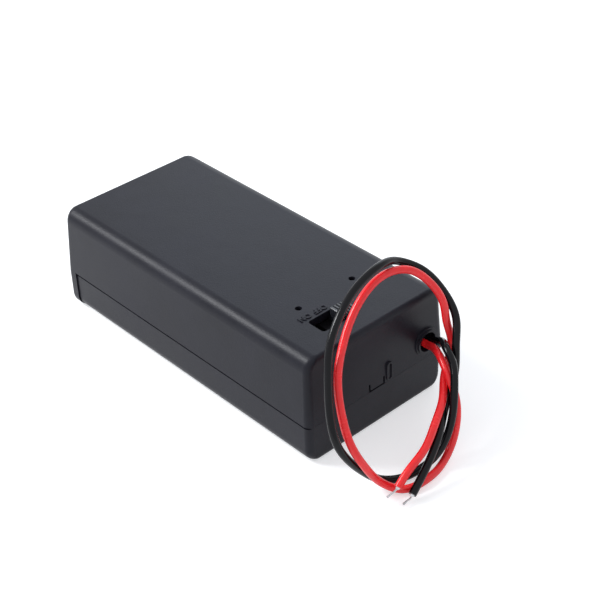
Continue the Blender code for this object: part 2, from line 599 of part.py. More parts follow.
def switch_slider():
    """The ridged knob with the flange that keeps it under the top, and a peg for its contact."""
    half_flange = SLOT_WIDTH / 2 + FLANGE_SIDE
    slider = block("switch_slider", (SWITCH_X - half_flange, KNOB_Y - FLANGE_HALF_LENGTH, FLANGE_BOTTOM),
                   (SWITCH_X + half_flange, KNOB_Y + FLANGE_HALF_LENGTH, FLANGE_TOP))
    half_width = SLOT_WIDTH / 2 - CLEARANCE
    knob = block("knob", (SWITCH_X - half_width, KNOB_Y - KNOB_LENGTH / 2, FLANGE_TOP - FLANGE_THICKNESS / 2),
                 (SWITCH_X + half_width, KNOB_Y + KNOB_LENGTH / 2, CASE_HEIGHT + KNOB_RAISE), KNOB_EDGE)
    join(slider, knob)
    pitch = KNOB_LENGTH / KNOB_RIDGES
    for step in range(1, KNOB_RIDGES):
        y = KNOB_Y - KNOB_LENGTH / 2 + step * pitch
        cut(slider, block("knob_groove_%d" % step,
                          (SWITCH_X - SLOT_WIDTH, y - KNOB_GROOVE_WIDTH / 2,
                           CASE_HEIGHT + KNOB_RAISE - KNOB_GROOVE_DEPTH),
                          (SWITCH_X + SLOT_WIDTH, y + KNOB_GROOVE_WIDTH / 2, CASE_HEIGHT + 2 * KNOB_RAISE)))
    join(slider, rod("slider_peg", (SWITCH_X, KNOB_Y, FLANGE_BOTTOM - PEG_LENGTH),
                     (SWITCH_X, KNOB_Y, FLANGE_BOTTOM + SINK), PEG_RADIUS))
    move_origin(slider, (SWITCH_X, KNOB_Y, FLANGE_TOP))
    return slider


def slider_contact():
    """A springy strip under the slider that dips down over two neighbouring terminals."""
    half_length = TERMINAL_PITCH / 2 + STRIP_END
    steps = 36
    middle = []
    for step in range(steps + 1):
        y = -half_length + 2 * half_length * step / steps
        from_dip = abs(abs(y) - TERMINAL_PITCH / 2) / STRIP_END
        dip = STRIP_DIP * (1 + math.cos(math.pi * from_dip)) / 2 if from_dip < 1 else 0
        middle.append((KNOB_Y + y, STRIP_MIDDLE_Z - dip))
    upper = [(y, z + STRIP_THICKNESS / 2) for y, z in middle]
    lower = [(y, z - STRIP_THICKNESS / 2) for y, z in reversed(middle)]
    loops = [[(SWITCH_X + side * STRIP_WIDTH / 2, y, z) for y, z in upper + lower] for side in (-1, 1)]
    strip = loft("slider_contact", loops)
    cut(strip, rod("strip_hole", (SWITCH_X, KNOB_Y, STRIP_MIDDLE_Z - WALL),
                   (SWITCH_X, KNOB_Y, STRIP_MIDDLE_Z + WALL), PEG_RADIUS + CLEARANCE))
    return strip


def switch_base():
    """The insulating plate that carries the terminals and hangs on the case's two stakes."""
    half_length = POST_REACH + BASE_END
    base = block("switch_base", (SWITCH_X - BASE_WIDTH / 2, SWITCH_Y - half_length, BASE_BOTTOM),
                 (SWITCH_X + BASE_WIDTH / 2, SWITCH_Y + half_length, BASE_TOP))
    for name, y in (("base_hole_left", SWITCH_Y + POST_REACH), ("base_hole_right", SWITCH_Y - POST_REACH)):
        cut(base, rod(name, (SWITCH_X, y, BASE_BOTTOM - WALL), (SWITCH_X, y, BASE_TOP + WALL),
                      STAKE_RADIUS + CLEARANCE))
    half_x = BLADE_THICKNESS / 2 + CLEARANCE
    half_y = BLADE_WIDTH / 2 + CLEARANCE
    for step in (-1, 0, 1):
        y = SWITCH_Y + step * TERMINAL_PITCH
        cut(base, block("blade_slot_%d" % (step + 2), (SWITCH_X - half_x, y - half_y, BASE_BOTTOM - WALL),
                        (SWITCH_X + half_x, y + half_y, BASE_TOP + WALL)))
    return base


def switch_terminal(name, step):
    """A flat contact head over the base, with a blade through it that a lead is soldered to."""
    y = SWITCH_Y + step * TERMINAL_PITCH
    half = TERMINAL_SIZE / 2
    half_x = BLADE_THICKNESS / 2
    half_y = BLADE_WIDTH / 2
    terminal = block(name, (SWITCH_X - half, y - half, TERMINAL_TOP - TERMINAL_SHEET),
                     (SWITCH_X + half, y + half, TERMINAL_TOP))
    join(terminal, block(name + "_blade", (SWITCH_X - half_x, y - half_y, BASE_TOP - BLADE_DROP),
                         (SWITCH_X + half_x, y + half_y, TERMINAL_TOP - TERMINAL_SHEET / 2)))
    return terminal


def solder_joint(name, centre):
    """A small bead of solder beside the piece that it holds."""
    builder = bmesh.new()
    place = Matrix.Translation(centre)
    bmesh.ops.create_icosphere(builder, subdivisions=2, radius=JOINT_RADIUS, matrix=place)
    return finish(builder, name)


def in_metres(route):
    """A route's points, which are written in millimetres, in metres."""
    return [Vector(point) * MM for point in route]


def smooth_route(points, count):
    """Points at even steps along the natural cubic curve through a route's own points."""
    own = np.array(points)
    lengths = np.linalg.norm(np.diff(own, axis=0), axis=1)
    knots = np.concatenate(([0.0], np.cumsum(lengths)))
    system = np.eye(len(own))
    right = np.zeros_like(own)
    for index in range(1, len(own) - 1):
        before = lengths[index - 1]
        after = lengths[index]
        system[index, index - 1:index + 2] = (before, 2 * (before + after), after)
        slope_change = (own[index + 1] - own[index]) / after - (own[index] - own[index - 1]) / before
        right[index] = 6 * slope_change
    bend = np.linalg.solve(system, right)
    route = []
    for place in np.linspace(0, knots[-1], count):
        index = min(int(np.searchsorted(knots, place, side="right")) - 1, len(own) - 2)
        step = lengths[index]
        start = (knots[index + 1] - place) / step
        end = (place - knots[index]) / step
        straight = start * own[index] + end * own[index + 1]
        bulge = (start ** 3 - start) * bend[index] + (end ** 3 - end) * bend[index + 1]
        route.append(straight + bulge * step ** 2 / 6)
    return route


def cord(name, points, diameter, count):
    """A round cord or strand along a route, as a curve with a bevel."""
    curve = bpy.data.curves.new(name, "CURVE")
    curve.dimensions = "3D"
    curve.bevel_depth = diameter / 2
    curve.bevel_resolution = 2
    curve.use_fill_caps = True
    spline = curve.splines.new("POLY")
    route = smooth_route(points, count)
    spline.points.add(len(route) - 1)
    for point, place in zip(spline.points, route):
        point.co = (*place, 1.0)
    made = bpy.data.objects.new(name, curve)
    bpy.context.collection.objects.link(made)
    return made


def jumper_route(lug_bead, blade_bead):
    """The short lead's route, from over the bead on the socket's lug to under the bead on the switch."""
    first = Vector(lug_bead) + Vector((0.35, -0.1, 0.65)) * LEAD_DIAMETER
    last = Vector(blade_bead) - Vector((0, 0, JOINT_RADIUS + CLEARANCE))
    rise = last.z - first.z
    lower = first + Vector((0.5 * (last.x - first.x), 0.5 * (last.y - first.y), 0.3 * rise))
    upper = Vector((last.x, last.y, first.z + 0.65 * rise))
    return first, lower, upper, last


def paint(pieces, finish_name, colour, roughness, metallic=0.0):
    """Give each piece its own material of one finish."""
    for piece in pieces:
        piece.data.materials.append(material(piece.name + "_" + finish_name, colour, roughness, metallic))


def build():
    """Make every piece and give it its material."""
    socket_y = -SNAP_PITCH / 2
    stud_y = SNAP_PITCH / 2
    bead_x = JOINT_RADIUS + CLEARANCE
    lug_x = LUG_BACK + bead_x
    lug_z = SNAP_Z - LUG_DROP + LUG_WIDTH / 2
    blade_x = BLADE_THICKNESS / 2 + bead_x
    blade_z = BASE_TOP - BLADE_DROP + JOINT_RADIUS
    on_y = SWITCH_Y - TERMINAL_PITCH
    paint([case_shell(), battery_cover(), switch_slider()], "black_plastic", (0.012, 0.012, 0.014), 0.4)
    paint([contact_board(), switch_base()], "board", (0.16, 0.06, 0.02), 0.6)
    paint([snap_socket(socket_y), snap_stud(stud_y), rivet("socket_rivet", socket_y),
           rivet("stud_rivet", stud_y), solder_lug("socket_lug", socket_y), solder_lug("stud_lug", stud_y)],
          "nickel", (0.6, 0.58, 0.54), 0.3, 1.0)
    paint([slider_contact(), switch_terminal("switch_terminal_on", -1),
           switch_terminal("switch_terminal_common", 0), switch_terminal("switch_terminal_spare", 1)],
          "brass", (0.65, 0.45, 0.2), 0.35, 1.0)
    lug_bead = (lug_x, socket_y, lug_z)
    blade_bead = (SWITCH_X - blade_x, on_y, blade_z)
    paint([solder_joint("black_joint", (lug_x, stud_y, lug_z)),
           solder_joint("jumper_joint_lug", lug_bead),
           solder_joint("red_joint", (SWITCH_X + blade_x, SWITCH_Y, blade_z)),
           solder_joint("jumper_joint_blade", blade_bead),
           cord("red_tip", in_metres(RED_TIP_ROUTE), STRAND_DIAMETER, POINTS_PER_TIP),
           cord("black_tip", in_metres(BLACK_TIP_ROUTE), STRAND_DIAMETER, POINTS_PER_TIP)],
          "tinned", (0.55, 0.55, 0.56), 0.35, 1.0)
    paint([cord("red_lead", in_metres(RED_ROUTE), LEAD_DIAMETER, POINTS_PER_LEAD),
           cord("jumper_lead", jumper_route(lug_bead, blade_bead), LEAD_DIAMETER, POINTS_PER_JUMPER)],
          "red_insulation", (0.7, 0.008, 0.01), 0.35)
    paint([cord("black_lead", in_metres(BLACK_ROUTE), LEAD_DIAMETER, POINTS_PER_LEAD)],
          "black_insulation", (0.012, 0.012, 0.013), 0.35)


build()
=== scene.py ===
# %% [markdown]
# # A nine volt battery holder
# This lesson dresses a plain CAD model of a small black box that holds one block battery. The box has a
# clip-on cover, a slide switch and two leads. It could be modelled a second time for the picture, but then
# two models would drift apart. So the CAD pieces give every size and place, and here they get their soft
# edges, their real finishes, the lettering beside the switch, and a studio to stand in.

# %% Load the frame
import json
import math

import bpy
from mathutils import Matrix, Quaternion, Vector


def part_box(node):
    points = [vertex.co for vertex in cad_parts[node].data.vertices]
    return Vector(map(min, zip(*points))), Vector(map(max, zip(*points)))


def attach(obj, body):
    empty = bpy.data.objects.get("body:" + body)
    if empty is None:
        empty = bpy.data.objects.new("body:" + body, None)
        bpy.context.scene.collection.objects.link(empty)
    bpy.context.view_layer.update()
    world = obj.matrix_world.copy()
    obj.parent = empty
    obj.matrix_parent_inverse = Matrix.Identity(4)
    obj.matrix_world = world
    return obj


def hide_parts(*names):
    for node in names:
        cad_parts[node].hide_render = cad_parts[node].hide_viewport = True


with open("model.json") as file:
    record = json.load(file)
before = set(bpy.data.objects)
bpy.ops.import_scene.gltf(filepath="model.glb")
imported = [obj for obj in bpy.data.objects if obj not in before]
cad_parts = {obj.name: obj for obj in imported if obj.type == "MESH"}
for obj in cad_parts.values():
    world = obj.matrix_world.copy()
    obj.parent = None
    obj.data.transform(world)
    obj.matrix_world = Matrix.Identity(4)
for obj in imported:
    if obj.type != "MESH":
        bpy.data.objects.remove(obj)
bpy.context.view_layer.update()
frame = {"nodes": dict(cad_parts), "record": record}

MM = 0.001
print("CAD pieces:", len(frame["nodes"]))

# %% [markdown]
# ## The view
# The photograph looks down on one corner of the box from about 27 centimetres away, so near edges look
# clearly longer than far ones. The view could be set by eye. A camera that was fitted to the box's corners
# makes every later comparison a fair one. It is turned a little about its line of sight, as the hand-held
# camera was.

# %% Place the camera
VIEW_AZIMUTH = math.radians(48.54)
VIEW_ELEVATION = math.radians(35.13)
VIEW_ROLL = math.radians(-2.19)
VIEW_DISTANCE = 268.9 * MM
VIEW_AIM = Vector((7.04, 6.94, 9.36)) * MM
VIEW_LENS = 86.8
NEAREST_SEEN = 10 * MM


def from_view(azimuth, elevation, distance, aim):
    """The point at a distance from the aim under an azimuth and an elevation, and the direction to it."""
    flat = math.cos(elevation)
    direction = Vector((math.sin(azimuth) * flat, -math.cos(azimuth) * flat, math.sin(elevation)))
    return aim + direction * distance, direction


place, backwards = from_view(VIEW_AZIMUTH, VIEW_ELEVATION, VIEW_DISTANCE, VIEW_AIM)
turn = backwards.to_track_quat("Z", "Y") @ Quaternion((0, 0, 1), VIEW_ROLL)
bpy.ops.object.camera_add(location=place, rotation=turn.to_euler())
camera = bpy.context.object
camera.data.lens = VIEW_LENS
camera.data.clip_start = NEAREST_SEEN
bpy.context.scene.camera = camera
print("Camera at", [round(value / MM) for value in place], "mm")

# %% [markdown]
# ## Selecting in code
# A modeller clicks on the edges and faces to work on. A script picks them by their place instead. Nothing
# may stay selected from the step before, because an operator acts on everything that is selected. These
# helpers are used for every piece, so that all of them end up with whole faces, soft edges and no slivers.

# %% Helpers for selecting and for tidy pieces
WELD = 0.002 * MM
SLIVER = 0.004 * MM
FLAT_ANGLE = math.radians(0.5)
SHARP_ANGLE = math.radians(35)
EDGE_SEGMENTS = 2


def deselect():
    """Leave nothing selected."""
    bpy.ops.object.select_all(action="DESELECT")


def activate(piece):
    """Select one piece, and make it the one that operators act on."""
    deselect()
    piece.select_set(True)
    bpy.context.view_layer.objects.active = piece


def edit_all(piece):
    """Open a piece's mesh for editing, with all of it selected."""
    activate(piece)
    bpy.ops.object.mode_set(mode="EDIT")
    bpy.ops.mesh.select_all(action="SELECT")


def close_edit():
    """Leave the mesh and go back to whole objects."""
    bpy.ops.object.mode_set(mode="OBJECT")


def in_place(piece):
    """Move a piece's place and turn into its mesh, so that its object sits at the origin."""
    activate(piece)
    bpy.ops.object.transform_apply(location=True, rotation=True, scale=True)
    return piece


def soften(piece, width):
    """Round every sharp edge of a piece a little, and shade the rest smooth."""
    activate(piece)
    step = piece.modifiers.new("soft_edges", "BEVEL")
    step.width = width
    step.segments = EDGE_SEGMENTS
    step.limit_method = "ANGLE"
    step.angle_limit = SHARP_ANGLE
    step.miter_outer = "MITER_ARC"
    bpy.ops.object.modifier_apply(modifier=step.name)
    edit_all(piece)
    bpy.ops.mesh.remove_doubles(threshold=SLIVER)
    bpy.ops.mesh.dissolve_degenerate(threshold=SLIVER)
    close_edit()
    bpy.ops.object.shade_smooth_by_angle(angle=SHARP_ANGLE)
    step = piece.modifiers.new("face_weights", "WEIGHTED_NORMAL")
    step.keep_sharp = True
    bpy.ops.object.modifier_apply(modifier=step.name)


def copy_of(node, name):
    """A copy of a CAD piece with its loose triangles joined into whole faces."""
    mesh = frame["nodes"][node].data.copy()
    mesh.name = name
    piece = bpy.data.objects.new(name, mesh)
    bpy.context.collection.objects.link(piece)
    piece.data.materials.clear()
    edit_all(piece)
    bpy.ops.mesh.remove_doubles(threshold=WELD)
    bpy.ops.mesh.dissolve_limited(angle_limit=FLAT_ANGLE)
    bpy.ops.mesh.customdata_custom_splitnormals_clear()
    close_edit()
    return piece


# %% [markdown]
# ## Finishes
# A finish is a material made of small sums. Real surfaces vary: grain, stains and wear are patterns of
# numbers. They could be painted as images. Written as sums they stay sharp at any size, and a reader can
# follow them. A socket here is a small object that adds a Math node whenever it is added or multiplied.

# %% Shader sums
class Socket:
    """An output of a shader node. Sums on it add Math nodes to its tree."""

    def __init__(self, wiring, output):
        self.wiring = wiring
        self.output = output

    def sum_with(self, operation, first, second):
        return self.wiring.node("ShaderNodeMath", {"operation": operation}, {0: first, 1: second})

    def __add__(self, other):
        return self.sum_with("ADD", self, other)

    def __radd__(self, other):
        return self.sum_with("ADD", other, self)

    def __mul__(self, other):
        return self.sum_with("MULTIPLY", self, other)

    def __rmul__(self, other):
        return self.sum_with("MULTIPLY", other, self)

    def or_more(self, other):
        return self.sum_with("MAXIMUM", self, other)


class Wiring:
    """A tree of shader nodes."""

    def __init__(self, tree):
        self.tree = tree

    def feed(self, node, inputs):
        """Give a node's sockets their values or links."""
        for key, value in inputs.items():
            if isinstance(value, Socket):
                self.tree.links.new(value.output, node.inputs[key])
            else:
                node.inputs[key].default_value = value

    def node(self, kind, settings=None, inputs=None, output=0):
        """Add a node, set it, feed it, and return one of its outputs."""
        made = self.tree.nodes.new(kind)
        for key, value in (settings or {}).items():
            setattr(made, key, value)
        self.feed(made, inputs or {})
        return Socket(self, made.outputs[output])

    def seen(self):
        """1 for what the camera sees, also in a reflection or through glass, and 0 for light on things."""
        camera, glossy, through = [self.node("ShaderNodeLightPath", output=name) for name in
                                   ("Is Camera Ray", "Is Glossy Ray", "Is Transmission Ray")]
        return camera.or_more(glossy).or_more(through)


class Finish(Wiring):
    """A material whose Principled shader takes its values from sums."""

    def __init__(self, name, **fixed):
        self.material = bpy.data.materials.new(name)
        self.material.use_nodes = True
        super().__init__(self.material.node_tree)
        self.shader = self.tree.nodes["Principled BSDF"]
        self.use(**fixed)

    def place(self):
        """Where a point of the surface is, in metres."""
        return self.node("ShaderNodeTexCoord", output="Object")

    def noise(self, size, detail=2.0, roughness=0.5, place=None):
        """Soft random blotches of about the given size in metres, from 0 to 1."""
        return self.node("ShaderNodeTexNoise", inputs={"Vector": place or self.place(), "Scale": 1 / size,
                                                       "Detail": detail, "Roughness": roughness})

    def between(self, value, low, high, start=0.0, end=1.0):
        """Stretch the part of a value between low and high onto the range from start to end."""
        return self.node("ShaderNodeMapRange", {"clamp": True},
                         {"Value": value, "From Min": low, "From Max": high, "To Min": start, "To Max": end})

    def mix(self, factor, first, second):
        """A colour between two colours."""
        return self.node("ShaderNodeMix", {"data_type": "RGBA"},
                         {"Factor": factor, 6: first, 7: second}, output=2)

    def bump(self, height, depth):
        """Normals that follow a pattern of the given depth in metres."""
        return self.node("ShaderNodeBump", inputs={"Height": height, "Distance": depth, "Strength": 1.0})

    def use(self, **inputs):
        """Feed the shader itself, and return the material."""
        names = {key: key.replace("_", " ").title().replace("Ior", "IOR") for key in inputs}
        self.feed(self.shader, {names[key]: value for key, value in inputs.items()})
        return self.material


def grey(value):
    """A colour without any hue."""
    return (value, value, value, 1.0)


# %% [markdown]
# ## Moulded black plastic
# The box comes out of a steel mould whose walls were spark-eroded, so the plastic has a very fine, even
# grain and a satin sheen. A flat colour would look like paint. So four sizes of noise are laid over each
# other: the grain's bumps, the slow waves of plastic that shrank as it cooled, wide patches that are polished
# and dark or dull and lighter, and specks of dust. The knob is shinier. The flange under the top lies in the
# slot's shade, so it gets painted shade: a much darker, duller copy of the same plastic.

# %% The plastic finish
GRAIN_SIZE = 0.28 * MM
GRAIN_DEPTH = 0.03
WAVE_SIZE = 7 * MM
WAVE_DEPTH = 0.05
PATCH_SIZE = 11 * MM
DUST_SIZE = 0.45 * MM
DUST_COVER = 0.05
DUST_GREY = 0.35
DULL_LIGHTER = 1.35
DULL_HAZE = 0.002
GRAIN_ROUGHNESS = 0.05


def moulded_plastic(name, colour, roughness, shine):
    """Satin plastic with a fine grain, rubbed patches and a little dust."""
    finish = Finish(name, specular_ior_level=shine)
    grains = finish.noise(GRAIN_SIZE, detail=3.0, roughness=0.6)
    patches = finish.noise(PATCH_SIZE, detail=4.0, roughness=0.6)
    waves = finish.noise(WAVE_SIZE, detail=1.0)
    dust = finish.between(finish.noise(DUST_SIZE, detail=1.0), low=0.76, high=0.8)
    dark = (*colour, 1.0)
    light = (*(DULL_LIGHTER * value + DULL_HAZE for value in colour), 1.0)
    tone = finish.mix(finish.between(patches, low=0.35, high=0.7), dark, light)
    tone = finish.mix(dust * DUST_COVER, tone, grey(DUST_GREY))
    rough = finish.between(patches, low=0.3, high=0.7, start=roughness - 0.03, end=roughness + 0.04)
    relief = finish.bump(grains * GRAIN_DEPTH + waves * WAVE_DEPTH, MM)
    return finish.use(base_color=tone, roughness=rough + grains * GRAIN_ROUGHNESS, normal=relief)


# The blue lean of these colours is partly painted reflection, added to the cool sheen that the bluer back
# lamp gives the top.
box_black = moulded_plastic("box_black", (0.0086, 0.0088, 0.0138), roughness=0.35, shine=0.17)
knob_black = moulded_plastic("knob_black", (0.013, 0.014, 0.018), roughness=0.24, shine=0.6)
# Painted shade: the same plastic made near-black and dull, for the flange in the slot's shadow.
flange_painted_shade = moulded_plastic("flange_painted_shade", (0.002, 0.002, 0.003), roughness=0.75, shine=0.08)
print("Plastics:", box_black.name, knob_black.name, flange_painted_shade.name)

# %% [markdown]
# ## Soft lead insulation
# The leads are drawn through a die in soft plastic, which leaves them smoother than the box, with a faint
# orange-peel surface. A plain glossy colour would give one hard line of light. A shallow ripple and a few
# scuffs break that line up, as on a real lead.

# %% The insulation finish
RIPPLE_SIZE = 0.9 * MM
RIPPLE_DEPTH = 0.012 * MM
SCUFF_SIZE = 3.5 * MM


def soft_plastic(name, colour, roughness, shine):
    """Smooth drawn plastic with a slight ripple."""
    finish = Finish(name, specular_ior_level=shine)
    ripple = finish.noise(RIPPLE_SIZE, detail=2.0)
    scuffs = finish.noise(SCUFF_SIZE, detail=5.0, roughness=0.65)
    deep = tuple(0.8 * value for value in colour) + (1.0,)
    tone = finish.mix(finish.between(scuffs, low=0.3, high=0.7), deep, (*colour, 1.0))
    rough = finish.between(scuffs, low=0.3, high=0.7, start=roughness - 0.04, end=roughness + 0.06)
    return finish.use(base_color=tone, roughness=rough, normal=finish.bump(ripple, RIPPLE_DEPTH))


lead_red = soft_plastic("lead_red", (0.99, 0.019, 0.025), roughness=0.24, shine=0.45)
lead_black = soft_plastic("lead_black", (0.005, 0.005, 0.0065), roughness=0.16, shine=0.2)
print("Insulation:", lead_red.name, lead_black.name)

# %% [markdown]
# ## Metals and boards
# The contacts are nickel-plated, the switch's parts are bare brass, and the lead ends are tinned, which
# leaves them grey and a little lumpy. The two boards are brown paper laminate. Only a little of them shows,
# through the slot or with the cover open, so one pattern of stains serves all the metals, and stretched
# noise makes the paper's fibres.

# %% The metal and board finishes
STAIN_SIZE = 1.4 * MM
LUMP_SIZE = 0.5 * MM
FIBRE_WIDTH = 0.35 * MM
FIBRE_DEPTH = 0.01 * MM
FIBRE_STRETCH = (1.0, 0.12, 1.0)


def metal(name, colour, stain, roughness, lumps=0.0):
    """A metal that is stained in patches, with lumps where a depth is given."""
    finish = Finish(name, metallic=1.0)
    patches = finish.noise(STAIN_SIZE, detail=5.0, roughness=0.65)
    tone = finish.mix(finish.between(patches, low=0.4, high=0.75), (*colour, 1.0), (*stain, 1.0))
    rough = finish.between(patches, low=0.3, high=0.7, start=roughness, end=roughness + 0.16)
    inputs = {"base_color": tone, "roughness": rough}
    if lumps:
        inputs["normal"] = finish.bump(finish.noise(LUMP_SIZE), lumps)
    return finish.use(**inputs)


def laminate(name, dark, light):
    """Brown paper laminate, mottled along its fibres."""
    finish = Finish(name)
    fibres = finish.node("ShaderNodeMapping", inputs={"Vector": finish.place(), "Scale": FIBRE_STRETCH})
    streaks = finish.noise(FIBRE_WIDTH, detail=4.0, place=fibres)
    tone = finish.mix(finish.between(streaks, low=0.3, high=0.7), (*dark, 1.0), (*light, 1.0))
    rough = finish.between(streaks, low=0.2, high=0.8, start=0.45, end=0.62)
    return finish.use(base_color=tone, roughness=rough, normal=finish.bump(streaks, FIBRE_DEPTH))


nickel = metal("nickel_plate", (0.66, 0.64, 0.60), (0.40, 0.37, 0.32), roughness=0.22)
brass = metal("bare_brass", (0.76, 0.52, 0.22), (0.42, 0.25, 0.09), roughness=0.26)
tin = metal("tinned_wire", (0.66, 0.66, 0.67), (0.40, 0.40, 0.41), roughness=0.28, lumps=0.03 * MM)
board_brown = laminate("board_brown", (0.13, 0.045, 0.014), (0.24, 0.10, 0.035))
print("Metals and board:", nickel.name, brass.name, tin.name, board_brown.name)

# %% [markdown]
# ## The leads
# Each lead is a stranded wire in soft insulation that keeps the curve it was packed in. It could be
# simulated, but then it wouldn't fall as in the photograph. So the CAD model gives its route as a short
# list of points in millimetres, and a natural cubic curve through them bends as a springy wire does: as
# little as it can.

# %% The routes of the leads
RED_ROUTE = (
    (29.1, -1.9, 12.4), (29, 3, 11.8), (29.6, 7.8, 11.5), (31.3, 10.3, 11.7), (33.1, 11.1, 11.8),
    (35.1, 11.1, 11.8), (37.6, 10.2, 12.9), (40.6, 8.7, 13.3), (44.1, 7, 12), (46.6, 6.2, 9.3),
    (48.1, 5, 6), (49.1, 2.8, 2.6), (50.2, -1, 0.8), (50.9, -5.6, 0.8), (49.8, -9.8, 0.8),
    (47.7, -12.3, 2.3), (46.6, -15.2, 6.8), (44.9, -16.6, 11), (41.9, -15.8, 15), (38.1, -13, 19.6),
    (35.6, -9.7, 21.8), (33.2, -5, 24.8), (32.4, 0, 28), (32.6, 4, 29), (33.6, 7.5, 28.5),
    (35.6, 10.8, 25.5), (37.8, 12.2, 21.5), (38.5, 12.5, 17.5), (39.9, 12.3, 14.2), (41.3, 10, 12.2),
    (42.8, 7.4, 10.8), (45.9, 3.7, 9.9), (48.1, -0.5, 8.3), (49.6, -4.5, 6.2), (50, -9.1, 4.1),
    (50.3, -11.5, 2.6),
)
BLACK_ROUTE = (
    (25.1, 6.6, 7), (26.6, 8.5, 9), (29.6, 12.1, 11.4), (32.6, 12.8, 11.8), (35.1, 12.8, 11.8),
    (37.2, 12.2, 13), (41.8, 9, 15.3), (44.1, 8, 14.2), (46.1, 6.3, 12.5), (47.8, 4.4, 9.4),
    (48.8, 2.4, 6), (49.2, -0.8, 2.8), (48.6, -4.3, 1.1), (47.6, -8, 0.7), (46.2, -11, 1.4),
    (45.2, -14.4, 4.6), (44.7, -17.1, 8.3), (43.6, -18.8, 12.4), (41.5, -18.1, 16.3),
    (38.3, -15.4, 19.8), (35.5, -12.3, 23.6), (33.8, -8, 27.5), (32.6, -3, 29.8), (32.2, 3, 31),
    (31.6, 8, 29), (33.4, 11.2, 26.8), (36.1, 13.5, 23), (39.6, 13.6, 18.4), (41.8, 11.3, 15.5),
    (43.4, 9.5, 11.5), (45.9, 4.5, 8), (49.1, -0.6, 6.5), (50.9, -5.2, 3.9), (52.1, -10, 1.2),
)
LEAD_DIAMETER = 1.4 * MM
LEAD_STEP = 0.6 * MM
ROUNDNESS = 6


def smooth_route(own, longest_step):
    """Points at short steps along the natural cubic curve through a route's own points."""
    lengths = [(after - before).length for before, after in zip(own, own[1:])]
    count = len(own)
    weight = [0.0] * count
    bend = [Vector() for _ in own]
    for index in range(1, count - 1):
        before = lengths[index - 1]
        after = lengths[index]
        slope_change = (own[index + 1] - own[index]) / after - (own[index] - own[index - 1]) / before
        share = 2 * (before + after) - before * weight[index - 1]
        weight[index] = after / share
        bend[index] = (6 * slope_change - before * bend[index - 1]) / share
    for index in range(count - 3, -1, -1):
        bend[index] = bend[index] - weight[index] * bend[index + 1]
    bend[0] = Vector()
    points = []
    for index, length in enumerate(lengths):
        steps = max(1, round(length / longest_step))
        for step in range(steps):
            end = step / steps
            start = 1 - end
            straight = start * own[index] + end * own[index + 1]
            bulge = (start ** 3 - start) * bend[index] + (end ** 3 - end) * bend[index + 1]
            points.append(straight + bulge * length ** 2 / 6)
    return points + [own[-1]]


def path_length(points):
    """The length of the line through some points."""
    return sum((after - before).length for before, after in zip(points, points[1:]))


def round_curve(name, routes, width, finish):
    """Round wires along some routes, as one curve with a bevel."""
    curve = bpy.data.curves.new(name, "CURVE")
    curve.dimensions = "3D"
    curve.bevel_depth = width / 2
    curve.bevel_resolution = ROUNDNESS
    curve.use_fill_caps = True
    for points in routes:
        spline = curve.splines.new("POLY")
        spline.points.add(len(points) - 1)
        for point, place in zip(spline.points, points):
            point.co = (*place, 1.0)
        spline.use_smooth = True
    piece = bpy.data.objects.new(name, curve)
    bpy.context.collection.objects.link(piece)
    piece.data.materials.append(finish)
    return piece


leads = {}
for name, route, finish in (("red_cord", RED_ROUTE, lead_red), ("black_cord", BLACK_ROUTE, lead_black)):
    points = smooth_route([Vector(point) * MM for point in route], LEAD_STEP)
    leads[name] = (round_curve(name, [points], LEAD_DIAMETER, finish), points)
    print(name, round(path_length(points) / MM, 1), "mm long")

# %% [markdown]
# ## The stripped ends
# A few fine wires show where the insulation ends. They are twisted and tinned, and a drop of tin sits at
# the cut. One thin rod would look like a pin. So each wire is a screw line round the middle of the end, and
# the lines spread a little towards their tips.

# %% Twist the wires of the ends
TIP_ROUTES = {
    "red_cord": ((50.3, -11.85, 2.4), (50.1, -12.8, 1.9), (49.9, -13.8, 1.5)),
    "black_cord": ((52.25, -10.4, 1), (52.3, -11.4, 0.9), (52.4, -12.5, 0.8)),
}
WIRES = 6
WIRE_WIDTH = 0.12 * MM
WIRE_STEP = 0.12 * MM
TWIST_PITCH = 2.2 * MM
TWIST_RADIUS = 0.85
TIP_SPREAD = 0.6
DROP_RADIUS = 0.42 * MM
DROP_ANGLE = math.radians(40)
UP = Vector((0, 0, 1))


def twisted(middle, share):
    """One wire's way round the middle line, from its share of a full turn."""
    length = path_length(middle)
    reach = 0.0
    way = []
    for before, after in zip(middle, middle[1:]):
        along = (after - before).normalized()
        side = along.cross(UP).normalized()
        angle = 2 * math.pi * (reach / TWIST_PITCH + share)
        spread = WIRE_WIDTH * (TWIST_RADIUS + TIP_SPREAD * (reach / length) ** 3)
        way.append(before + spread * (math.cos(angle) * side + math.sin(angle) * side.cross(along)))
        reach += (after - before).length
    return way


def stripped_end(name, lead_points, route):
    """Twisted wires that start inside a lead's end, with a drop of tin at the cut."""
    own = [lead_points[-2], lead_points[-1]] + [Vector(point) * MM for point in route]
    middle = smooth_route(own, WIRE_STEP)
    piece = round_curve(name, [twisted(middle, wire / WIRES) for wire in range(WIRES)], WIRE_WIDTH, tin)
    activate(piece)
    bpy.ops.object.convert(target="MESH")
    bpy.ops.mesh.primitive_uv_sphere_add(segments=20, ring_count=12, radius=DROP_RADIUS,
                                         location=lead_points[-1])
    drop = in_place(bpy.context.object)
    drop.data.materials.append(tin)
    piece.select_set(True)
    bpy.context.view_layer.objects.active = piece
    bpy.ops.object.join()
    bpy.ops.object.shade_smooth_by_angle(angle=DROP_ANGLE)
    return piece


for name, (cord, points) in leads.items():
    end = stripped_end(name + "_end", points, TIP_ROUTES[name])
    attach(end, "case")
    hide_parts(name.replace("cord", "tip"))
    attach(cord, "case")
    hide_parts(name.replace("cord", "lead"))
    path_length(points)
    print(end.name, len(end.data.polygons), "faces")

# %% [markdown]
# ## The parts inside
# Contacts, rivets, terminals, boards and solder sit in the case. They could stay as plain CAD pieces, but
# an edge that is perfectly sharp catches no light and looks drawn. So each is copied, and its edges are
# rounded by a twentieth of a millimetre, as a press tool rounds them.

